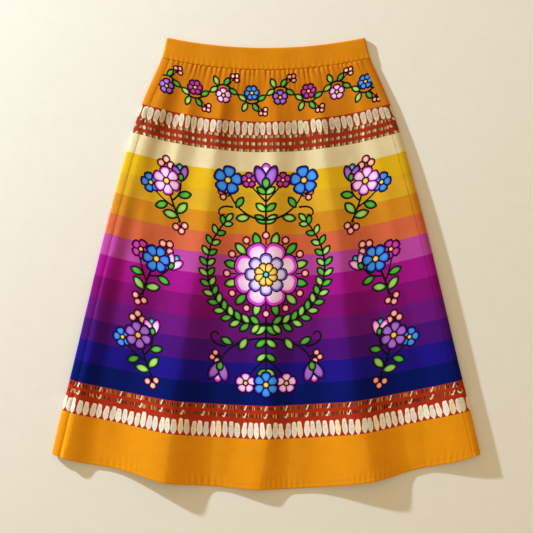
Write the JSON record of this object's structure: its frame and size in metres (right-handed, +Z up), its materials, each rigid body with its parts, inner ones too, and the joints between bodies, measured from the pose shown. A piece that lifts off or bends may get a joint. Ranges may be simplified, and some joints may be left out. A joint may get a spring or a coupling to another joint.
{
  "type": "gathered midi skirt laid flat",
  "caption": "Gathered A-line midi skirt laid flat, front up, with a plain waistband, soft folds that open at the hem and rolled sides.",
  "frame": {"origin": "middle of the footprint, on the surface that the skirt lies on", "axes": "+Y from the hem towards the waist, +Z up out of the front of the skirt, +X towards the right of the front as seen from above"},
  "size_m": [0.7552, 0.797, 0.0191],
  "materials": {
    "waistband": "matt woven cotton, golden orange",
    "front_panel": "matt printed cotton",
    "back_panel": "matt printed cotton"
  },
  "bodies": {
    "root": {"waistband": "waistband", "front_panel": "front_panel", "back_panel": "back_panel"}
  },
  "joints": []
}
